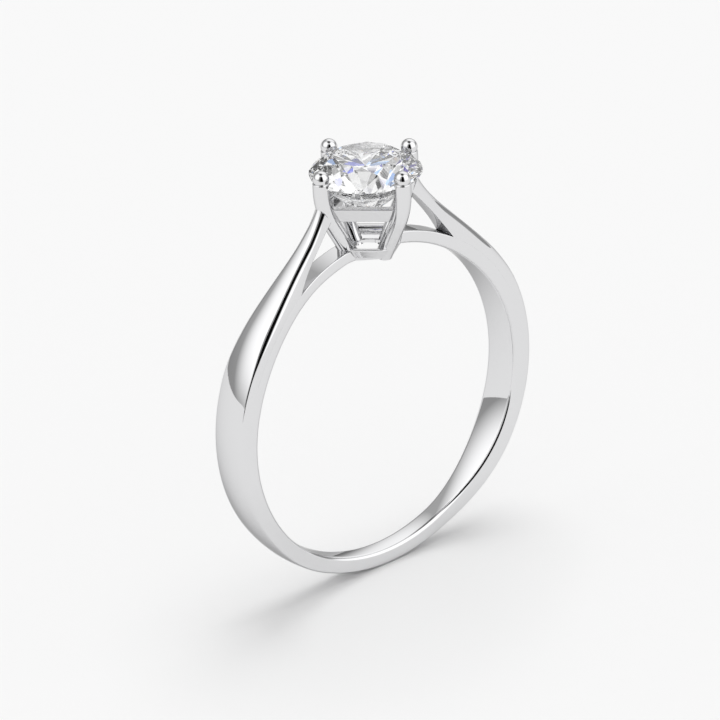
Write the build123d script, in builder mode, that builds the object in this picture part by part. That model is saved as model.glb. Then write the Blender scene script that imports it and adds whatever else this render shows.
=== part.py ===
"""Solitaire engagement ring: a cathedral band with a four-claw head and a round brilliant stone.

Millimetres.  The origin is the centre of the finger bore, +Y runs along the finger and
+Z points up through the stone.  The band lies in the XZ plane and is symmetric about XZ and YZ.
"""
from build123d import *
from math import atan2, cos, degrees, radians, sin, sqrt, tan
import os

# ---- driving dimensions -----------------------------------------------------------------
# band
bore_radius = 8.65          # finger bore, US size 7
band_thickness = 0.90       # at the very bottom of the band
band_width = 2.20           # sides and bottom
band_lift = 0.35            # the outside circle sits this much above the bore's centre
dome_sag = 0.14             # how far the outside falls from its crest to its edges
bridge_thickness = 0.70     # the thin arch under the head
bridge_width = 1.14         # the same arch, along the finger
shoulder_start = 25         # degrees above horizontal where a shoulder butts on the band
shoulder_leave = 43         # degrees where the shoulder's back leaves the band's circle
shoulder_waist = 60.24      # degrees where the back passes closest over the band's circle
waist_rise = 0.373          # how far it stands off that circle there
window_tip = 57             # degrees where the opening under a shoulder comes to its point
window_bow = 0.094          # how far the opening's long side bows upwards
arm_below_girdle = 1.12     # where a shoulder's back meets its claw
arm_depth = 0.78            # the shoulder's depth at its claw
arm_lean = 22.8             # degrees off upright as its back reaches the claw
plan_splay = 6.8            # degrees the plan still opens where it reaches full width
shoulder_tip_width = 0.98   # a shoulder where it meets its claw

# stone
stone_diameter = 5.81       # about 0.75 carat
stone_lift = 4.31           # girdle above the bore's top
table_share = 0.57
crown_angle = 34.5
pavilion_angle = 40.75
girdle_thickness = 0.10
star_length = 0.50
lower_half_length = 0.77
facet_step = 45             # eight-fold symmetry

# head
claw_wire = 0.88            # claw wire diameter
claw_lean = 29.5            # degrees from upright, below the bend
claw_bend = 4.10            # radius of the bend that brings the claw upright
claw_offset = 0.02          # claw centre outside the girdle
claw_upright = 0.15         # below the girdle, where the bend ends
claw_straight = 0.30        # upright length above the bend
bead_diameter = 0.86
bead_overlap = 0.13         # how deep the bead sits on the claw's end
collar_height = 0.62        # rim of the base collar above the bore's top
claw_proud = 0.082          # how far a claw stands out past the collar's corner at the rim
collar_wall = 0.30
collar_floor = 0.36         # floor height above the bore's top
collar_skirt = 0.35         # its walls start this far below the bore's top and the bore trims them
collar_slope = 30           # degrees its walls lean out
collar_corner = 1.15        # corner radius at the rim
collar_hole = 1.44          # light hole through the floor
rail_clearance = 0.109      # left round the stone where it sinks into the rail
rail_height = 0.82
rail_wall = 0.44
rail_flats = 4.10           # across its top edge
rail_slope = 22             # degrees its faces lean out

# ---- sizes that follow ------------------------------------------------------------------
bore_top = bore_radius
bridge_radius = bore_radius + bridge_thickness
outer_radius = bore_radius + band_thickness + band_lift
stone_radius = stone_diameter / 2
girdle_z = bore_top + stone_lift
claw_radius = claw_wire / 2
claw_reach = stone_radius + claw_offset
tall = girdle_z + 2 * stone_radius      # taller than anything, for cutting tools
wide = 2 * (outer_radius + claw_wire)   # wider than anything


def polar(radius, angle, centre_z=0.0):
    """A point in the XZ plane, measured up from +X."""
    a = radians(angle)
    return (radius * cos(a), centre_z + radius * sin(a))


def around(radius, angle, z):
    """A point in space, measured round the Z axis from +X."""
    a = radians(angle)
    return Vector(radius * cos(a), radius * sin(a), z)


def on_outer(angle):
    """Where a ray from the bore's centre leaves the outside circle."""
    a = radians(angle)
    reach = band_lift * sin(a) + sqrt(outer_radius**2 - (band_lift * cos(a)) ** 2)
    return polar(reach, angle)


# ---- the claw's line, in the plane that holds the claw and the Z axis -----------------------
bend_turn = radians(claw_lean)
bend_top = girdle_z - claw_upright
bend_start = (claw_reach - claw_bend * (1 - cos(bend_turn)), bend_top - claw_bend * sin(bend_turn))
foot_drop = bend_start[1] - bore_top + claw_wire
foot = (bend_start[0] - foot_drop * tan(bend_turn), bend_start[1] - foot_drop)
claw_end = bend_top + claw_straight
bead_z = claw_end + bead_diameter / 2 - bead_overlap


def claw_line_radius(z):
    """Distance of the claw's centre line from the Z axis at height z."""
    if z < bend_start[1]:
        return bend_start[0] - (bend_start[1] - z) * tan(bend_turn)
    if z > bend_top:
        return claw_reach
    return claw_reach - claw_bend + sqrt(claw_bend**2 - (bend_top - z) ** 2)


# ---- head sizes that follow the claws and the stone -----------------------------------------
claw_out = claw_line_radius(bore_top + collar_height) + claw_radius / cos(bend_turn)
collar_flats = 2 * collar_corner + sqrt(2) * (claw_out - claw_proud - collar_corner)
pavilion_slope = tan(radians(pavilion_angle))
rail_sink = (stone_radius + rail_clearance + rail_wall - rail_flats / 2) * pavilion_slope
rail_top = girdle_z - girdle_thickness / 2 - rail_sink

# ---- plans, seen from above: narrow by the head, full width from the sides down -------------
half_band = band_width / 2
plan_narrow = claw_reach + claw_radius          # stays narrow as far out as the claws
plan_full = bore_radius


def plan_block(narrow_width):
    """Everything within the band's width, which eases from narrow_width to band_width."""
    half_narrow = narrow_width / 2
    with BuildPart() as block:
        with BuildSketch(Plane.XY):
            with BuildLine():
                l1 = Line((0, half_narrow), (plan_narrow, half_narrow))
                l2 = Spline(
                    l1 @ 1,
                    ((plan_narrow + plan_full) / 2, (half_narrow + half_band) / 2),
                    (plan_full, half_band),
                    tangents=[(1, 0), (1, tan(radians(plan_splay)))],
                )
                l3 = Line(l2 @ 1, (wide, half_band))
                l4 = Line(l3 @ 1, (wide, 0))
                l5 = Line(l4 @ 1, (0, 0))
                Line(l5 @ 1, l1 @ 0)
            make_face()
            mirror(about=Plane.XZ)
            mirror(about=Plane.YZ)
        extrude(amount=tall)
        with BuildSketch(Plane.XY):
            Rectangle(2 * wide, band_width)
        extrude(amount=-tall)
    return block.part


band_plan = plan_block(bridge_width)
shoulder_plan = plan_block(shoulder_tip_width)


# ---- blanks that several pieces share -----------------------------------------------------
def collar_outline(z, wall=0.0):
    """Rounded square at height z; its flats face the gaps between the claws."""
    flats = collar_flats - 2 * wall - 2 * (bore_top + collar_height - z) * tan(radians(collar_slope))
    corner = (collar_corner - wall) * flats / (collar_flats - 2 * wall)
    with BuildSketch(Plane.XY.offset(z)) as outline:
        RectangleRounded(flats, flats, corner, rotation=45)
    return outline.sketch


collar_under = bore_top - collar_skirt
with BuildPart() as collar_blank:
    add(collar_outline(collar_under))
    add(collar_outline(bore_top + collar_height))
    loft()

with BuildPart() as collar_seat:
    add(collar_blank.part)
    extrude(collar_outline(bore_top + collar_height), amount=bridge_thickness)

with BuildPart() as bore_tool:
    with BuildSketch(Plane.XZ):
        Circle(bore_radius)
    extrude(amount=wide, both=True)

# ---- stone: a girdle blank cut by planes, facet row by facet row ----------------------------
table_radius = table_share * stone_radius
girdle_top = girdle_z + girdle_thickness / 2
girdle_bottom = girdle_z - girdle_thickness / 2
crown_slope = tan(radians(crown_angle))
table_z = girdle_top + (stone_radius - table_radius) * crown_slope
half_step = facet_step / 2
table_apothem = table_radius * cos(radians(half_step))
star_radius = table_apothem + star_length * (stone_radius - table_apothem)
star_z = table_z - (star_radius * cos(radians(half_step)) - table_radius) * crown_slope
lower_radius = (1 - lower_half_length) * stone_radius
lower_z = girdle_bottom - (stone_radius - lower_radius * cos(radians(half_step))) * pavilion_slope
culet_z = girdle_bottom - stone_radius * pavilion_slope


def facet_plane(a, b, c):
    """The plane through three points, facing away from the stone's middle."""
    normal = (b - a).cross(c - a)
    outward = a + b + c - Vector(0, 0, 3 * girdle_z)
    if normal.dot(outward) < 0:
        normal = normal * -1
    return Plane(origin=a, z_dir=normal)


facets = []
for turn in range(0, 360, facet_step):
    ahead, half = turn + facet_step, turn + half_step
    flat = turn + 90
    crown_corner = around(stone_radius, turn, girdle_top)
    table_corner = around(table_radius, turn, table_z)
    side = Vector(cos(radians(flat)), sin(radians(flat)), 0)
    star_tip = around(star_radius, half, star_z)
    facets.append(facet_plane(crown_corner, table_corner, table_corner + side))
    facets.append(facet_plane(table_corner, around(table_radius, ahead, table_z), star_tip))
    crown_between = around(stone_radius, half, girdle_top)
    keel_corner = around(stone_radius, turn, girdle_bottom)
    keel_between = around(stone_radius, half, girdle_bottom)
    lower_tip = around(lower_radius, half, lower_z)
    culet = Vector(0, 0, culet_z)
    facets.append(facet_plane(keel_corner, culet, culet + side))
    for near in (turn, ahead):
        facets.append(facet_plane(around(stone_radius, near, girdle_top), crown_between, star_tip))
        facets.append(facet_plane(around(stone_radius, near, girdle_bottom), keel_between, lower_tip))

with BuildPart() as stone:
    with BuildSketch(Plane.XY.offset(culet_z)):
        Circle(stone_radius)
    extrude(amount=table_z - culet_z)
    for facet in facets:
        split(bisect_by=facet, keep=Keep.BOTTOM)
stone.part.label = "stone"

# ---- claws: bent wire with a bead raised on the end and a seat cut for the girdle -----------
claw_names = {0: "claw_right", 90: "claw_back", 180: "claw_left", 270: "claw_front"}
claws = {}
for turn, claw_name in claw_names.items():
    a = radians(turn)
    upright = Plane(origin=(0, 0, 0), x_dir=(cos(a), sin(a), 0), z_dir=(sin(a), -cos(a), 0))
    with BuildPart() as claw:
        with BuildLine(upright) as claw_path:
            c1 = Line(foot, bend_start)
            c2 = JernArc(start=bend_start, tangent=c1 % 1, radius=claw_bend, arc_size=claw_lean)
            Line(c2 @ 1, (claw_reach, claw_end))
        with BuildSketch(Plane(origin=claw_path.line @ 0, z_dir=claw_path.line % 0)):
            Circle(claw_radius)
        sweep()
        with Locations(around(claw_reach, turn, bead_z)):
            Sphere(bead_diameter / 2)
        add(stone.part, mode=Mode.SUBTRACT)
        add(bore_tool.part, mode=Mode.SUBTRACT)
    claw.part.label = claw_name
    claws[claw_name] = claw.part

# ---- collar: the tapered cup at the foot of the claws, open to the bore ---------------------
with BuildPart() as collar:
    add(collar_blank.part)
    add(collar_outline(bore_top + collar_floor, collar_wall))
    add(collar_outline(bore_top + collar_height, collar_wall))
    loft(mode=Mode.SUBTRACT)
    with BuildSketch(Plane.XY.offset(collar_under)):
        Circle(collar_hole / 2)
    extrude(amount=collar_height + bore_top - collar_under, mode=Mode.SUBTRACT)
    add(bore_tool.part, mode=Mode.SUBTRACT)
    for claw_part in claws.values():
        add(claw_part, mode=Mode.SUBTRACT)
collar.part.label = "base_collar"

# ---- gallery rail: a square frame let in between the claws, under the stone -----------------
rail_bottom = rail_top - rail_height
rail_taper = 2 * rail_height * tan(radians(rail_slope))
with BuildPart() as rail:
    for wall, how in ((0.0, Mode.ADD), (rail_wall, Mode.SUBTRACT)):
        across = rail_flats - 2 * wall
        with BuildSketch(Plane.XY.offset(rail_bottom)):
            Rectangle(across - rail_taper, across - rail_taper, rotation=45)
        with BuildSketch(Plane.XY.offset(rail_top)):
            Rectangle(across, across, rotation=45)
        loft(mode=how)
    for claw_part in claws.values():
        add(claw_part, mode=Mode.SUBTRACT)
rail.part.label = "gallery_rail"

# ---- band: domed hoop that thins to the bridge where the shoulders sit ----------------------
with BuildPart() as band:
    with BuildSketch(Plane.XY.offset(band_lift)) as band_section:
        with BuildLine():
            b1 = Line((bore_radius - 2 * band_lift, -half_band), (outer_radius - dome_sag, -half_band))
            b2 = ThreePointArc(b1 @ 1, (outer_radius, 0), (outer_radius - dome_sag, half_band))
            b3 = Line(b2 @ 1, (bore_radius - 2 * band_lift, half_band))
            Line(b3 @ 1, b1 @ 0)
        make_face()
    revolve(axis=Axis((0, 0, band_lift), (0, 1, 0)))
    add(bore_tool.part, mode=Mode.SUBTRACT)
    with BuildSketch(Plane.XZ) as ledge:
        with BuildLine():
            e1 = CenterArc((0, 0), bridge_radius, shoulder_start, 180 - 2 * shoulder_start)
            e2 = Line(e1 @ 1, polar(wide, 180 - shoulder_start))
            e3 = Line(e2 @ 1, (-wide, tall))
            e4 = Line(e3 @ 1, (wide, tall))
            e5 = Line(e4 @ 1, polar(wide, shoulder_start))
            Line(e5 @ 1, e1 @ 0)
        make_face()
    extrude(amount=band_width, both=True, mode=Mode.SUBTRACT)
    add(band_plan, mode=Mode.INTERSECT)
    add(collar_seat.part, mode=Mode.SUBTRACT)
    for claw_part in claws.values():
        add(claw_part, mode=Mode.SUBTRACT)
band.part.label = "band"

# ---- shoulders: arms that rise from the band to the left and right claws --------------------
arm_bury = claw_radius / 3              # an arm's end lies this far out from its claw's line
arm_top_z = girdle_z - arm_below_girdle
arm_top = (claw_line_radius(arm_top_z) + claw_radius, arm_top_z)
arm_end = (claw_line_radius(arm_top_z) + arm_bury, arm_top_z)
arm_low_z = arm_top_z - arm_depth
arm_low = (claw_line_radius(arm_low_z) + arm_bury, arm_low_z)
arm_tangent = (-sin(radians(arm_lean)), cos(radians(arm_lean)))
waist_base = on_outer(shoulder_waist)
waist = (
    waist_base[0] + waist_rise * cos(radians(shoulder_waist)),
    waist_base[1] + waist_rise * sin(radians(shoulder_waist)),
)
leave = on_outer(shoulder_leave)
leave_angle = degrees(atan2(leave[1] - band_lift, leave[0]))
leave_tangent = (-sin(radians(leave_angle)), cos(radians(leave_angle)))
tip = polar(bridge_radius, window_tip)
butt = on_outer(shoulder_start)
butt_angle = degrees(atan2(butt[1] - band_lift, butt[0]))

shoulders = []
for side_name in ("right", "left"):
    with BuildPart() as shoulder:
        with BuildSketch(Plane.XZ):
            with BuildLine():
                s1 = CenterArc((0, band_lift), outer_radius, butt_angle, leave_angle - butt_angle)
                s2 = Spline(s1 @ 1, waist, arm_top, tangents=[leave_tangent, arm_tangent])
                s3 = Line(s2 @ 1, arm_end)
                s4 = Line(s3 @ 1, arm_low)
                s5 = SagittaArc(s4 @ 1, tip, window_bow)
                s6 = CenterArc((0, 0), bridge_radius, window_tip, shoulder_start - window_tip)
                Line(s6 @ 1, s1 @ 0)
            make_face()
        extrude(amount=band_width, both=True)
        add(shoulder_plan, mode=Mode.INTERSECT)
        for claw_part in claws.values():
            add(claw_part, mode=Mode.SUBTRACT)
        if side_name == "left":
            mirror(about=Plane.YZ, mode=Mode.REPLACE)
    shoulder.part.label = "shoulder_" + side_name
    shoulders.append(shoulder.part)

pieces = [band.part, *shoulders, collar.part, rail.part, *claws.values(), stone.part]

os.makedirs("parts", exist_ok=True)
for piece in pieces:
    export_step(piece, "parts/" + piece.label + ".step")
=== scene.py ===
"""Solitaire engagement ring: polished white gold, a four-claw head and one round brilliant.

Metres, in the CAD's frame: the origin is the centre of the finger bore, +Y runs along the
finger and +Z points up through the stone.  Sizes are given in millimetres and scaled once,
where each mesh is made.
"""
from math import acos, asin, atan, atan2, cos, degrees, pi, radians, sin, sqrt, tan

import bmesh
import bpy
from mathutils import Matrix, Vector


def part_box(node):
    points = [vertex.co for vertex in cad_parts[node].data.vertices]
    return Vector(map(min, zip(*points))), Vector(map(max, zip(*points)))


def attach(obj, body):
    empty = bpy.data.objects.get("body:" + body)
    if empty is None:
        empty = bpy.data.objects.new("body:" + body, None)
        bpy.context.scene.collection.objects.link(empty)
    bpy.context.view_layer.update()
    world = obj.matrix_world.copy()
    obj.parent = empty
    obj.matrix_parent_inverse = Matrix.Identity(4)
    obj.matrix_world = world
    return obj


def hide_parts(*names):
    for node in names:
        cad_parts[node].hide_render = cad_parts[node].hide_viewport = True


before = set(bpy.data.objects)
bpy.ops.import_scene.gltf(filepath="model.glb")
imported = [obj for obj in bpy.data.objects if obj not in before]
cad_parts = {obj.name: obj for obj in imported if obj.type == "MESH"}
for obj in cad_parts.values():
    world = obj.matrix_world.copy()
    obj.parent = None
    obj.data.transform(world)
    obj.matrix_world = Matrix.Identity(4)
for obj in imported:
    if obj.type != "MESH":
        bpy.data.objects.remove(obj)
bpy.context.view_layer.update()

MM = 0.001

# ---- sizes in millimetres ----------------------------------------------------------------
bore_radius = 8.65
band_width = 2.20
outer_radius = 9.895
band_lift = 0.35            # the outside circle's centre above the bore's
band_dome = 4.3             # radius of the outside's crown across the band
band_edge = 0.12            # rounding where the outside meets the sides
bore_edge = 0.22            # rounding along the bore
bridge_radius = 9.35
bridge_width = 1.14
bridge_dome = 40            # its crown, nearly flat
bridge_edge = 0.07
bridge_end = 79             # degrees above horizontal, inside the collar's wall
bridge_ease = 3             # degrees past the window's tip before its edges are quite free
shoulder_start = 25         # degrees above horizontal
shoulder_leave = 43
window_tip = 57
shoulder_width = 0.98       # a shoulder where it reaches its claw
shoulder_edge = 0.46        # its rounding, softer than the band's
shoulder_dome = 2.5         # its crown there, much rounder than the band's
shoulder_pinch = 0.84       # how far it slims in beside its claw
pinch_start = 0.55          # the share of the window's length where that starts
dome_run = 7.34             # the height over which the one crown turns into the other
window_edge = 0.06
arm_drop = 1.12             # top of a shoulder below the girdle
arm_depth = 0.78
arm_waist = (5.25, 9.18)    # its back passes closest over the band here
arm_lean = (-0.42, 1)       # the way its back is going when it meets the claw
window_side = (3.92, 9.56)  # a point halfway up the opening's long side

stone_box = [[value / MM for value in corner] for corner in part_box("stone")]
stone_radius = (stone_box[1][0] - stone_box[0][0]) / 2
table_z = stone_box[1][2]
table_share = 0.57
crown_angle = 34.5
pavilion_angle = 40.75
star_length = 0.50
lower_half_length = 0.77
girdle_thickness = 0.10
crown_height = stone_radius * (1 - table_share) * tan(radians(crown_angle))
girdle_z = table_z - crown_height - girdle_thickness / 2

claw_radius = 0.44
claw_lean = radians(29.5)
claw_bend = 4.10
claw_reach = stone_radius + 0.02
claw_upright = girdle_z - 0.15      # where the bend ends
claw_end = claw_upright + 0.30
bead_radius = 0.43
bead_sink = 0.13            # how deep the bead sits in the end of its claw
bead_lip = 0.10             # how far the claw's metal is drawn up round the bead
lip_edge = 0.05
foot_z = 9.4                # above here a claw is drawn ring by ring, below it runs straight

collar_rim = bore_radius + 0.62
cup_depth = 0.40            # a dish, drawn from the rim to the light hole
collar_flats = 3.44
collar_wall = 0.30
collar_slope = radians(30)
collar_corner = 1.15
collar_hole = 0.72
collar_edge = 0.05          # rounding along the rim

rail_top = girdle_z - 1.26
rail_height = 0.82
rail_wall = 0.44
rail_flats = 4.10
rail_slope = radians(22)
rail_edge = 0.05

half_band = band_width / 2
plan_narrow = claw_reach + claw_radius


# ---- small helpers for shapes --------------------------------------------------------------
def blend(low, high, share):
    """Between low and high, easing in and out."""
    share = min(max(share, 0.0), 1.0)
    return low + (high - low) * share * share * (3 - 2 * share)


def steps(low, high, count):
    """count + 1 even steps from low to high."""
    return [low + (high - low) * i / count for i in range(count + 1)]


def skin(name, rings, closed=False):
    """A closed surface through rings of points, smooth except where it turns hard."""
    around = len(rings[0])
    shape = bmesh.new()
    grid = [[shape.verts.new(MM * Vector(point)) for point in ring] for ring in rings]
    for i in range(len(grid) if closed else len(grid) - 1):
        near, far = grid[i], grid[(i + 1) % len(grid)]
        for k in range(around):
            after = (k + 1) % around
            shape.faces.new((near[k], near[after], far[after], far[k]))
    if not closed:
        shape.faces.new(grid[0])
        shape.faces.new(grid[-1])
    bmesh.ops.recalc_face_normals(shape, faces=shape.faces)
    return finished(name, shape)


def finished(name, shape, sharp=35):
    """Turns a bmesh into an object whose flat faces stay flat right up to their rounded edges."""
    mesh = bpy.data.meshes.new(name)
    shape.to_mesh(mesh)
    shape.free()
    mesh.shade_smooth()
    mesh.set_sharp_from_angle(angle=radians(sharp))
    piece = bpy.data.objects.new(name, mesh)
    bpy.context.scene.collection.objects.link(piece)
    weigh = piece.modifiers.new("flat_faces", "WEIGHTED_NORMAL")
    weigh.keep_sharp = True
    weigh.weight = 90
    return piece


def softened(corners, radius, turns=4):
    """A closed outline with each corner rounded to the given radius."""
    outline = []
    for i, corner in enumerate(corners):
        here = Vector(corner)
        back = (Vector(corners[i - 1]) - here).normalized()
        ahead = (Vector(corners[(i + 1) % len(corners)]) - here).normalized()
        half = back.angle(ahead) / 2
        middle = here + (back + ahead).normalized() * radius / sin(half)
        start = here + back * radius / tan(half) - middle
        end = here + ahead * radius / tan(half) - middle
        for k in range(turns + 1):
            outline.append(middle + start.lerp(end, k / turns).normalized() * radius)
    return outline


# ---- the ring's own curves, in the XZ plane ------------------------------------------------
def on_outer(angle):
    """Where a ray from the bore's centre leaves the outside circle."""
    reach = band_lift * sin(angle) + sqrt(outer_radius**2 - (band_lift * cos(angle)) ** 2)
    return Vector((reach * cos(angle), reach * sin(angle)))


def claw_line(z):
    """Distance of a claw's centre line from the stone's axis."""
    bend_start = claw_upright - claw_bend * sin(claw_lean)
    if z >= claw_upright:
        return claw_reach
    if z >= bend_start:
        return claw_reach - claw_bend + sqrt(claw_bend**2 - (claw_upright - z) ** 2)
    return claw_reach - claw_bend * (1 - cos(claw_lean)) - (bend_start - z) * tan(claw_lean)


def half_width(x, narrow):
    """Half the width at distance x from the stone's axis: narrow by the head, full at the sides."""
    return blend(narrow / 2, half_band, (abs(x) - plan_narrow) / (bore_radius - plan_narrow))


def flow(points, first_way, last_way, count):
    """A smooth curve through three points that sets out and arrives in given directions."""
    start, middle, end = (Vector(point) for point in points)
    one, two = (middle - start).length, (end - middle).length
    first = Vector(first_way).normalized()
    last = Vector(last_way).normalized()
    slopes = ((middle - start) / one * two + (end - middle) / two * one) * 3
    through = (slopes - first * two - last * one) / (2 * (one + two))
    curve = []
    for a, b, way_a, way_b, length in (
        (start, middle, first, through, one),
        (middle, end, through, last, two),
    ):
        for t in steps(0, 1, count)[: -1 if b is middle else None]:
            s = 1 - t
            curve.append(
                a * (s * s * (1 + 2 * t)) + b * (t * t * (3 - 2 * t))
                + way_a * (length * t * s * s) - way_b * (length * t * t * s)
            )
    return curve


def along(curve, share):
    """The point a given share of the way along a curve."""
    lengths = [0.0]
    for a, b in zip(curve, curve[1:]):
        lengths.append(lengths[-1] + (b - a).length)
    goal = share * lengths[-1]
    for a, b, low, high in zip(curve, curve[1:], lengths, lengths[1:]):
        if goal <= high:
            return a.lerp(b, (goal - low) / (high - low))
    return curve[-1]


def section(low, high, narrow, crown, top_edge, low_edge, squeeze=1.0, low_narrow=None):
    """A ring of points round the metal between a low and a high point of the XZ plane.

    The high side is crowned across the width, the low side is flat and every edge is rounded.
    """
    up = high - low
    depth = up.length
    up.normalize()
    ring = []

    def place(height, y):
        at = low + up * height
        ring.append((at.x, y, at.y))

    top_half = half_width(high.x, narrow) * squeeze
    low_half = half_width(low.x, low_narrow or narrow) * squeeze
    tilt = atan(top_half / crown)
    shelf = top_half - top_edge * (1 - sin(tilt))
    for y in steps(shelf, -shelf, 14):
        place(depth - y * y / (2 * crown), y)
    brow = depth - shelf * shelf / (2 * crown) - top_edge * cos(tilt)
    foot = low_half - low_edge
    for turn in steps(tilt, pi / 2, 8)[1:]:
        place(brow + top_edge * cos(turn), -(top_half - top_edge + top_edge * sin(turn)))
    for turn in steps(0, pi / 2, 4):
        place(low_edge - low_edge * sin(turn), -(foot + low_edge * cos(turn)))
    for turn in steps(pi / 2, 0, 4):
        place(low_edge - low_edge * sin(turn), foot + low_edge * cos(turn))
    for turn in steps(pi / 2, tilt, 8)[:-1]:
        place(brow + top_edge * cos(turn), top_half - top_edge + top_edge * sin(turn))
    return ring


hair = 0.002                # an edge that is left crisp because metal carries on past it
ledge_steps = 80            # rings along the seam of band and shoulder, the same in both
window_steps = 40


def ray(radius, angle):
    return Vector((radius * cos(angle), radius * sin(angle)))


# ---- the pieces ------------------------------------------------------------------------------
def band():
    """The hoop: crowned outside, thin and narrow where it bridges the gap under the head."""
    start, tip = radians(shoulder_start), radians(window_tip)
    butt = radians(bridge_end)

    def bridge(angle):
        free = blend(0, 1, (degrees(min(angle, pi - angle)) - window_tip) / bridge_ease)
        crown = bridge_dome / max(free, hair)
        edge = hair + (bridge_edge - hair) * free
        return section(ray(bore_radius, angle), ray(bridge_radius, angle),
                       bridge_width, crown, edge, bore_edge)

    def hoop(angle):
        return section(ray(bore_radius, angle), on_outer(angle),
                       bridge_width, band_dome, band_edge, bore_edge)

    right = [bridge(angle) for angle in steps(butt, tip, 24) + steps(tip, start, ledge_steps)[1:]]
    lower = [hoop(angle) for angle in steps(start, -pi - start, 420)]
    left = [bridge(angle) for angle in steps(pi - start, pi - tip, ledge_steps)
            + steps(pi - tip, pi - butt, 24)[1:]]
    rings = right + lower + left
    for ring in (rings[0], rings[-1]):
        for i, (x, y, z) in enumerate(ring):
            half = collar_half(z)
            corner = collar_corner * half / (collar_flats / 2)
            middle = sqrt(2) * (half - corner)
            reach = middle + sqrt(max((corner - collar_wall / 2) ** 2 - y * y, 0))
            ring[i] = (reach if x > 0 else -reach, y, z)
    return skin("band_hoop", rings)


def shoulder(name, side):
    """An arm that rises out of the band, leaves a slim window and runs up its claw's back."""
    start, tip = radians(shoulder_start), radians(window_tip)
    leave = on_outer(radians(shoulder_leave))
    top_z = girdle_z - arm_drop
    low_z = top_z - arm_depth
    arm_top = Vector((claw_line(top_z) + claw_radius, top_z))
    arm_low = Vector((claw_line(low_z) + claw_radius / 3, low_z))
    away = Vector((-(leave.y - band_lift), leave.x))
    circle = [on_outer(radians(a)) for a in steps(shoulder_start, shoulder_leave, 60)]
    back = circle[:-1] + flow((leave, arm_waist, arm_top), away, arm_lean, window_steps)
    ledge = [ray(bridge_radius, a) for a in steps(start, tip, ledge_steps)]
    window = arc_through(ledge[-1], Vector(window_side), arm_low, window_steps)
    tip_share = share_at_angle(back, tip)
    rings = []
    for i, low in enumerate(ledge):
        high = along(back, share_at_angle(back, start + (tip - start) * i / ledge_steps))
        rings.append(shoulder_ring(low, high, hair))
    for i, low in enumerate(window[1:], 1):
        share = i / window_steps
        high = along(back, tip_share + (1 - tip_share) * share)
        rings.append(shoulder_ring(low, high, blend(hair, window_edge, share * 10), share))
    flipped = [[(side * x, y, z) for x, y, z in ring] for ring in rings]
    return skin(name, flipped)


def shoulder_ring(low, high, low_edge, rise=0.0):
    """One ring of a shoulder; the crown tightens as it nears the head."""
    height = (high.y - on_outer(radians(shoulder_start)).y) / dome_run
    crown = blend(band_dome, shoulder_dome, height * 1.2)
    pinch = blend(1.0, shoulder_pinch, (rise - pinch_start) / (1 - pinch_start))
    soft_edge = blend(band_edge, shoulder_edge, height * 3)
    foot_width = blend(bridge_width, shoulder_width, rise * 3)
    return section(low, high, shoulder_width, crown, soft_edge, low_edge, pinch, foot_width)


def share_at_angle(curve, angle):
    """How far along a curve it passes a given angle above the horizontal."""
    total = sum((b - a).length for a, b in zip(curve, curve[1:]))
    gone = 0.0
    for a, b in zip(curve, curve[1:]):
        low, high = atan2(a.y, a.x), atan2(b.y, b.x)
        if high >= angle:
            return (gone + (b - a).length * max(angle - low, 0) / (high - low)) / total
        gone += (b - a).length
    return 1.0


def arc_through(start, middle, end, count):
    """The circular arc through three points."""
    a, b = middle - start, end - start
    cross = 2 * (a.x * b.y - a.y * b.x)
    centre = start + Vector((
        (b.y * a.length_squared - a.y * b.length_squared) / cross,
        (a.x * b.length_squared - b.x * a.length_squared) / cross,
    ))
    first, last = start - centre, end - centre
    turn = last.angle_signed(first)
    return [centre + first.copy() @ Matrix.Rotation(-turn * t, 2) for t in steps(0, 1, count)]


def collar_half(z):
    """Half the collar's width across its flats at height z."""
    return collar_flats / 2 - (collar_rim - z) * tan(collar_slope)


def collar_ring(z, inset):
    """A rounded square whose corners meet the claws."""
    half = collar_half(z) - inset
    corner = (collar_corner - inset) * half / (collar_flats / 2 - inset)
    middle = sqrt(2) * (half - corner)
    ring = []
    for quarter in range(4):
        way = quarter * pi / 2
        for turn in steps(way - pi / 4, way + pi / 4, 16):
            ring.append((middle * cos(way) + corner * cos(turn), middle * sin(way) + corner * sin(turn), z))
    return ring


def on_bore(x, y):
    return (x, y, sqrt(bore_radius**2 - x * x))


def collar():
    """The tapered cup that the claws' feet stand in, dished and open to the bore."""
    quarter = steps(0, pi / 2, 4)
    edge = collar_edge
    rings = [[on_bore(x, y) for x, y, z in collar_ring(bore_radius, 0)]]
    rings += [collar_ring(z, 0) for z in steps(bore_radius + edge, collar_rim - 2 * edge, 8)]
    rings += [collar_ring(collar_rim - edge * (1 - sin(t)), edge * (1 - cos(t))) for t in quarter]
    rings += [collar_ring(collar_rim - edge * (1 - cos(t)), collar_wall - edge * (1 - sin(t)))
              for t in quarter]
    ways = [atan2(y, x) for x, y, z in rings[0]]
    hole = [(collar_hole * cos(way), collar_hole * sin(way)) for way in ways]
    wall = collar_ring(collar_rim, collar_wall)
    for turn in steps(0, pi / 2, 14)[1:]:
        share, z = cos(turn), collar_rim - edge - cup_depth * sin(turn)
        rings.append([(hx + (x - hx) * share, hy + (y - hy) * share, z)
                      for (hx, hy), (x, y, _) in zip(hole, wall)])
    rings.append([on_bore(x, y) for x, y in hole])
    return skin("base_collar_cup", rings, closed=True)


def rail():
    """The square gallery frame let in between the claws under the stone."""
    lean = rail_height * tan(rail_slope)
    low_z = rail_top - rail_height
    corners = [(0, rail_top), (rail_wall, rail_top), (rail_wall + lean, low_z), (lean, low_z)]
    rings = []
    for inset, z in softened(corners, rail_edge):
        reach = (rail_flats / 2 - inset) * sqrt(2)
        rings.append([(reach * cos(k * pi / 2), reach * sin(k * pi / 2), z) for k in range(4)])
    return skin("gallery_rail_frame", rings, closed=True)


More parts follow.
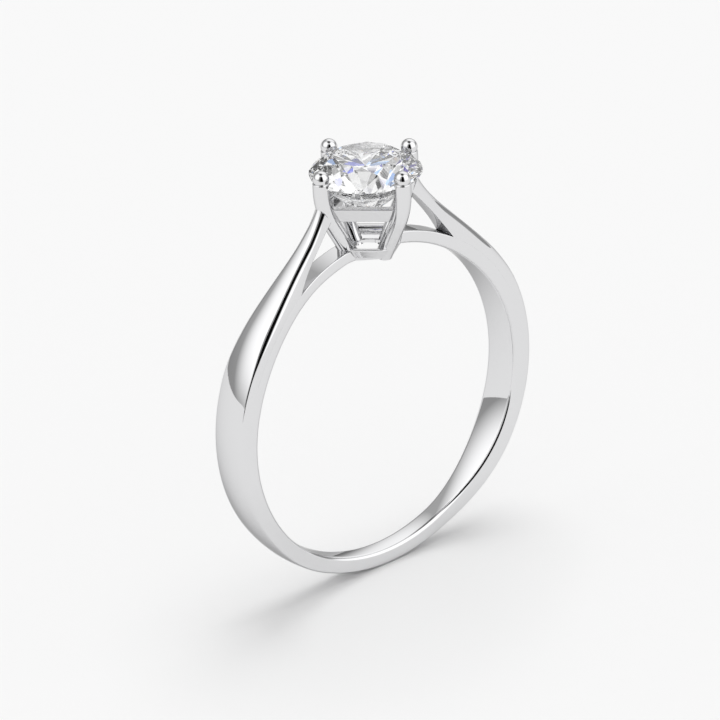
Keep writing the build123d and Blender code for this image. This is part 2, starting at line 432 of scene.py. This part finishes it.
def claw(name, way, stone):
    """A bent wire with a bead raised on its end, and a seat cut in it for the girdle."""
    spokes = [2 * pi * k / 48 for k in range(48)]

    def ring(z, radius, lean):
        return [(claw_line(z) + radius * cos(s) * cos(lean), radius * sin(s), z - radius * cos(s) * sin(lean))
                for s in spokes]

    foot = ring(foot_z, claw_radius, claw_lean)
    down = Vector((-sin(claw_lean), 0, -cos(claw_lean)))
    rings = [[to_bore(Vector(point), down) for point in foot], foot]
    for z in steps(foot_z, claw_end + bead_lip - lip_edge, 56)[1:]:
        below = min(max(claw_upright - z, 0), claw_bend * sin(claw_lean))
        rings.append(ring(z, claw_radius, asin(below / claw_bend)))
    for turn in steps(0, pi / 2, 4)[1:]:
        top = claw_end + bead_lip - lip_edge * (1 - sin(turn))
        rings.append(ring(top, claw_radius - lip_edge * (1 - cos(turn)), 0))
    bead_z = claw_end + bead_radius - bead_sink
    crease = acos((bead_radius - bead_sink - bead_lip) / bead_radius)
    for turn in steps(crease, pi * 0.995, 26):
        rings.append(ring(bead_z - bead_radius * cos(turn), bead_radius * sin(turn), 0))
    turned = [[(x * cos(way) - y * sin(way), x * sin(way) + y * cos(way), z) for x, y, z in r] for r in rings]
    piece = skin(name, turned)
    seat = piece.modifiers.new("seat", "BOOLEAN")
    seat.operation = "DIFFERENCE"
    seat.solver = "EXACT"
    seat.object = stone
    piece.modifiers.move(len(piece.modifiers) - 1, 0)
    baked = bpy.data.meshes.new_from_object(piece.evaluated_get(bpy.context.evaluated_depsgraph_get()))
    piece.modifiers.remove(seat)
    piece.data = baked
    return piece


def to_bore(point, down):
    """Where a line from a point, going down a claw, comes out in the bore."""
    a = down.x**2 + down.z**2
    b = point.x * down.x + point.z * down.z
    c = point.x**2 + point.z**2 - bore_radius**2
    return tuple(point + down * ((-b - sqrt(b * b - a * c)) / a))


def brilliant(name, grow=0.0):
    """A round brilliant: a girdle blank cut by planes, one row of facets after another."""
    radius = stone_radius
    top, bottom = girdle_z + girdle_thickness / 2, girdle_z - girdle_thickness / 2
    crown, pavilion = tan(radians(crown_angle)), tan(radians(pavilion_angle))
    table = table_share * radius
    step, half = pi / 4, pi / 8
    apothem = table * cos(half)
    star = apothem + star_length * (radius - apothem)
    star_z = table_z - (star * cos(half) - table) * crown
    lower = (1 - lower_half_length) * radius
    lower_z = bottom - (radius - lower * cos(half)) * pavilion

    def at(reach, way, z):
        return Vector((reach * cos(way), reach * sin(way), z))

    cuts = []
    culet = Vector((0, 0, bottom - radius * pavilion))
    for turn in (k * step for k in range(8)):
        side = Vector((-sin(turn), cos(turn), 0))
        tip = at(star, turn + half, star_z)
        table_corner = at(table, turn, table_z)
        cuts.append((at(radius, turn, top), table_corner, table_corner + side))
        cuts.append((table_corner, at(table, turn + step, table_z), tip))
        cuts.append((at(radius, turn, bottom), culet, culet + side))
        for near in (turn, turn + step):
            cuts.append((at(radius, near, top), at(radius, turn + half, top), tip))
            cuts.append((at(radius, near, bottom), at(radius, turn + half, bottom),
                         at(lower, turn + half, lower_z)))

    shape = bmesh.new()
    bmesh.ops.create_cone(shape, cap_ends=True, segments=128, radius1=radius + grow, radius2=radius + grow,
                          depth=table_z - culet.z + 2 * grow)
    bmesh.ops.translate(shape, verts=shape.verts, vec=(0, 0, (table_z + culet.z) / 2))
    for a, b, c in cuts:
        way = (b - a).cross(c - a).normalized()
        if way.dot(a + b + c - Vector((0, 0, 3 * girdle_z))) < 0:
            way = -way
        parts = shape.verts[:] + shape.edges[:] + shape.faces[:]
        cut = bmesh.ops.bisect_plane(shape, geom=parts, dist=1e-6, plane_co=a + way * grow,
                                     plane_no=way, clear_outer=True)
        edges = [part for part in cut["geom_cut"] if isinstance(part, bmesh.types.BMEdge)]
        bmesh.ops.holes_fill(shape, edges=edges)
    bmesh.ops.scale(shape, verts=shape.verts, vec=(MM, MM, MM))
    bmesh.ops.recalc_face_normals(shape, faces=shape.faces)
    stone = finished(name, shape)
    stone.modifiers.clear()
    stone.data.shade_flat()
    return stone


# ---- materials -------------------------------------------------------------------------------
def linear(code):
    """An sRGB hex colour as the linear colour that a shader takes."""
    parts = [int(code[i : i + 2], 16) / 255 for i in (0, 2, 4)]
    return [p / 12.92 if p <= 0.04045 else ((p + 0.055) / 1.055) ** 2.4 for p in parts] + [1.0]


def add(tree, kind, settings=None, **links):
    """Adds a node: settings are its own, links are values or outputs for its inputs."""
    node = tree.nodes.new(kind)
    for key, value in (settings or {}).items():
        setattr(node, key, value)
    for key, value in links.items():
        name = key.replace("_", " ")
        by_number = key.startswith("in") and key[2:].isdigit()
        socket = node.inputs[int(key[2:]) if by_number else name]
        if isinstance(value, bpy.types.NodeSocket):
            tree.links.new(value, socket)
        else:
            socket.default_value = value
    return node


def new_material(name):
    material = bpy.data.materials.new(name)
    material.use_nodes = True
    material.node_tree.nodes.clear()
    return material


def polished_white_gold():
    """18 ct white gold, rhodium plated and polished to a mirror: bright, very slightly cool."""
    material = new_material("polished_white_gold")
    tree = material.node_tree
    place = add(tree, "ShaderNodeTexCoord").outputs["Object"]
    # The last buff leaves lines a few microns wide; they are drawn coarser so that they show.
    haze = add(tree, "ShaderNodeTexNoise", Vector=place, Scale=1 / (1.5 * MM), Detail=3.0).outputs["Fac"]
    rough = add(tree, "ShaderNodeMapRange", in0=haze, From_Min=0.3, From_Max=0.7, To_Min=0.025, To_Max=0.05)
    metal = add(tree, "ShaderNodeBsdfPrincipled", Base_Color=linear("E3E3E4"), Metallic=1.0,
                Roughness=rough.outputs[0], Specular_Tint=linear("B8B8B8"))
    add(tree, "ShaderNodeOutputMaterial", Surface=metal.outputs[0])
    return material


def cut_diamond():
    """Diamond, cut and polished: clear and bright, with a matt bruted line round the girdle."""
    material = new_material("cut_diamond")
    tree = material.node_tree
    surface = add(tree, "ShaderNodeNewGeometry")
    steepness = add(tree, "ShaderNodeSeparateXYZ", Vector=surface.outputs["True Normal"]).outputs["Z"]
    upright = add(tree, "ShaderNodeMath", {"operation": "COMPARE"}, in0=steepness, in1=0.0, in2=0.02)
    rough = add(tree, "ShaderNodeMath", {"operation": "MULTIPLY"}, in0=upright.outputs[0], in1=0.1)
    diamond = add(tree, "ShaderNodeBsdfPrincipled", Base_Color=linear("FFFFFF"), Roughness=rough.outputs[0],
                  IOR=2.417, Transmission_Weight=1.0)
    add(tree, "ShaderNodeOutputMaterial", Surface=diamond.outputs[0])
    return material


def matt_card():
    """Matt white card: the studio floor."""
    material = new_material("matt_card")
    tree = material.node_tree
    place = add(tree, "ShaderNodeTexCoord").outputs["Object"]
    grain = add(tree, "ShaderNodeTexNoise", Vector=place, Scale=1 / (0.8 * MM), Detail=2.0).outputs["Fac"]
    bump = add(tree, "ShaderNodeBump", Height=grain, Strength=0.02, Distance=0.05 * MM)
    card = add(tree, "ShaderNodeBsdfDiffuse", Color=linear("F2F2F2"), Normal=bump.outputs[0])
    add(tree, "ShaderNodeOutputMaterial", Surface=card.outputs[0])
    return material


def black_velvet(half_width):
    """Black velvet on card: takes nearly all the light, and thins out towards the card's sides."""
    material = new_material("black_velvet")
    tree = material.node_tree
    place = add(tree, "ShaderNodeTexCoord").outputs["Object"]
    pile = add(tree, "ShaderNodeTexNoise", Vector=place, Scale=1 / (2 * MM)).outputs["Fac"]
    bump = add(tree, "ShaderNodeBump", Height=pile, Strength=0.1, Distance=0.2 * MM)
    cloth = add(tree, "ShaderNodeBsdfDiffuse", Color=linear("0A0A0A"), Normal=bump.outputs[0])
    aside = add(tree, "ShaderNodeSeparateXYZ", Vector=place).outputs["Y"]
    apart = add(tree, "ShaderNodeMath", {"operation": "ABSOLUTE"}, in0=aside).outputs[0]
    thin = add(tree, "ShaderNodeMapRange", {"interpolation_type": "SMOOTHSTEP"}, in0=apart,
               From_Min=0.5 * half_width * MM, From_Max=half_width * MM)
    clear = add(tree, "ShaderNodeBsdfTransparent")
    mixed = add(tree, "ShaderNodeMixShader", in0=thin.outputs[0], in1=cloth.outputs[0], in2=clear.outputs[0])
    add(tree, "ShaderNodeOutputMaterial", Surface=mixed.outputs[0])
    return material


# ---- the studio ------------------------------------------------------------------------------
view_turn = radians(-38.481)
view_rise = radians(25.981)
view_roll = radians(-2.665)
view_distance = 236.647
view_across, view_up = -0.83, 2.009
focal_length = 226.76
flag_distance, flag_height = 80, 130


def camera():
    """A long lens, turned to the ring's left front and looking down on it."""
    back = Vector((sin(view_turn) * cos(view_rise), -cos(view_turn) * cos(view_rise), sin(view_rise)))
    right = (-back).cross(Vector((0, 0, 1))).normalized()
    up = right.cross(-back)
    across = right * cos(view_roll) + up * sin(view_roll)
    above = up * cos(view_roll) - right * sin(view_roll)
    eye = across * view_across + above * view_up + back * view_distance
    lens = bpy.data.cameras.new("long_lens")
    lens.lens = focal_length
    lens.sensor_width = 36
    lens.clip_start, lens.clip_end = 0.01, 20
    camera = bpy.data.objects.new("long_lens", lens)
    turn = Matrix((across, above, back)).transposed().to_4x4()
    camera.matrix_world = Matrix.Translation(eye * MM) @ turn
    bpy.context.scene.collection.objects.link(camera)
    bpy.context.scene.camera = camera


def floor():
    """The plane the ring stands on."""
    shape = bmesh.new()
    bmesh.ops.create_grid(shape, x_segments=8, y_segments=8, size=4.0)
    bmesh.ops.translate(shape, verts=shape.verts, vec=(0, 0, (band_lift - outer_radius) * MM))
    mesh = bpy.data.meshes.new("floor")
    shape.to_mesh(mesh)
    shape.free()
    mesh.materials.append(matt_card())
    plane = bpy.data.objects.new("floor", mesh)
    bpy.context.scene.collection.objects.link(plane)


def soft_light(name, energy, spread, tilt, turn):
    """A broad light from above for the floor; the mirror metal doesn't show it."""
    light = bpy.data.lights.new(name, "SUN")
    light.energy = energy
    light.angle = radians(spread)
    lamp = bpy.data.objects.new(name, light)
    lamp.rotation_euler = (radians(tilt), radians(turn), 0)
    lamp.visible_glossy = False
    lamp.visible_transmission = False
    bpy.context.scene.collection.objects.link(lamp)


def black_flag(name, azimuth, half_angle):
    """A tall black card in front of the ring: it draws the dark lines along the polished edges."""
    half_width = flag_distance * tan(radians(half_angle))
    foot = band_lift - outer_radius + 0.5
    shape = bmesh.new()
    corners = ((-1, foot), (1, foot), (1, flag_height), (-1, flag_height))
    shape.faces.new([shape.verts.new(MM * Vector((flag_distance, side * half_width, z)))
                     for side, z in corners])
    mesh = bpy.data.meshes.new(name)
    shape.to_mesh(mesh)
    shape.free()
    mesh.materials.append(black_velvet(half_width))
    card = bpy.data.objects.new(name, mesh)
    card.rotation_euler = (0, 0, radians(azimuth))
    card.visible_camera = False
    card.visible_diffuse = False
    card.visible_shadow = False
    card.visible_transmission = False
    bpy.context.scene.collection.objects.link(card)


# Each panel: degrees round from +X, degrees up, half its full width, where it fades out, brightness.
panels = (
    (165, 44, 12, 60, 1.35),
    (-65, 30, 32, 52, 1.35),
    (30, 42, 16, 50, 1.20),
)

wall_low, wall_high = 0.34, 0.46    # how bright the walls are at the floor and higher up
ceiling_from, ceiling_full = 68, 78     # degrees up
ceiling_share = 0.12        # the light that is left under the dark ceiling
stone_contrast = 2.6        # a power of the light that the stone sees, to part its facets
stone_share = 0.55          # and what it is then turned down to

# Diamond spreads white light into colours.  Small tinted gels that only the stone picks up stand
# for that fire, because tracing each colour apart would only blur it.  The dark ones are the camera
# and the people round it, which a brilliant throws back as its dark facets.
# Each gel: degrees round from +X, degrees up, half its width in degrees, tint.
gels = (
    (-128, 24, 15, "1C1C1E"),
    (75, 30, 11, "343436"),
    (-10, 45, 11, "404044"),
    (-95, 50, 9, "404044"),
    (48, 26, 9, "28282A"),
    (-150, 32, 13, "4A2AC4"),
    (-50, 68, 12, "8088E8"),
    (170, 52, 10, "A8CCF8"),
    (-175, 70, 10, "98BCF4"),
    (20, 35, 6, "E8B080"),
)


def studio():
    """Three big soft light panels over grey walls, under a dark ceiling."""
    world = bpy.data.worlds.new("studio")
    bpy.context.scene.world = world
    world.use_nodes = True
    world.cycles_visibility.diffuse = False
    tree = world.node_tree
    tree.nodes.clear()
    way = add(tree, "ShaderNodeTexCoord").outputs["Generated"]
    height = add(tree, "ShaderNodeSeparateXYZ", Vector=way).outputs["Z"]

    def ease(value, low, high, start, end):
        node = add(tree, "ShaderNodeMapRange", {"interpolation_type": "SMOOTHSTEP"}, in0=value,
                   From_Min=low, From_Max=high, To_Min=start, To_Max=end)
        return node.outputs[0]

    def combine(how, one, other):
        return add(tree, "ShaderNodeMath", {"operation": how}, in0=one, in1=other).outputs[0]

    def cosine_to(azimuth, rise):
        a, r = radians(azimuth), radians(rise)
        unit = Vector((cos(a) * cos(r), sin(a) * cos(r), sin(r)))
        node = add(tree, "ShaderNodeVectorMath", {"operation": "DOT_PRODUCT"}, in0=way, in1=unit)
        return node.outputs["Value"]

    light = ease(height, 0.0, 0.5, wall_low, wall_high)
    for azimuth, rise, full, end, level in panels:
        panel = ease(cosine_to(azimuth, rise), cos(radians(end)), cos(radians(full)), 0.0, level)
        light = combine("MAXIMUM", light, panel)
    cap = ease(height, sin(radians(ceiling_from)), sin(radians(ceiling_full)), 1.0, ceiling_share)
    inside = add(tree, "ShaderNodeLightPath").outputs["Is Transmission Ray"]
    light = combine("MULTIPLY", light, cap)
    # The stone is shown harder light than the metal, so that its facets stay apart in brightness.
    light = combine("POWER", light, ease(inside, 0.0, 1.0, 1.0, stone_contrast))
    light = combine("MULTIPLY", light, ease(inside, 0.0, 1.0, 1.0, stone_share))
    for azimuth, rise, wide, tint in gels:
        near = cosine_to(azimuth, rise)
        gel = combine("MULTIPLY", ease(near, cos(radians(wide + 1)), cos(radians(wide)), 0.0, 1.0), inside)
        light = add(tree, "ShaderNodeMix", {"data_type": "RGBA", "blend_type": "MULTIPLY"}, in0=gel,
                    in6=light, in7=linear(tint)).outputs[2]
    sky = add(tree, "ShaderNodeBackground", Color=light, Strength=1.0)
    add(tree, "ShaderNodeOutputWorld", Surface=sky.outputs[0])


# ---- putting the ring together ---------------------------------------------------------------
def place(piece, node, slot, material):
    piece.data.materials.clear()
    piece.data.materials.append(material)
    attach(piece, "root")
    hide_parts(node)


camera()
floor()
soft_light("ceiling", energy=1.13, spread=46, tilt=-11, turn=16)
soft_light("room", energy=2.28, spread=178, tilt=0, turn=0)
studio()
black_flag("flag_wide", azimuth=-121, half_angle=28)
black_flag("flag_narrow", azimuth=-152, half_angle=5)
gold = polished_white_gold()
place(band(), "band", "polished_metal", gold)
place(shoulder("shoulder_arm_right", 1), "shoulder_right", "polished_metal", gold)
place(shoulder("shoulder_arm_left", -1), "shoulder_left", "polished_metal", gold)
place(collar(), "base_collar", "polished_metal", gold)
place(rail(), "gallery_rail", "polished_metal", gold)
blank = brilliant("stone_blank", grow=0.008)
claw_ways = {"claw_right": 0, "claw_back": pi / 2, "claw_left": pi, "claw_front": -pi / 2}
for claw_name, claw_way in claw_ways.items():
    place(claw("beaded_" + claw_name, claw_way, blank), claw_name, "polished_metal", gold)
bpy.data.objects.remove(blank)
place(brilliant("round_brilliant"), "stone", "brilliant_stone", cut_diamond())

scene = bpy.context.scene
scene.view_settings.view_transform = "Standard"
scene.cycles.max_bounces = 24           # light goes back and forth many times inside the stone
scene.cycles.glossy_bounces = 16
scene.cycles.transmission_bounces = 24
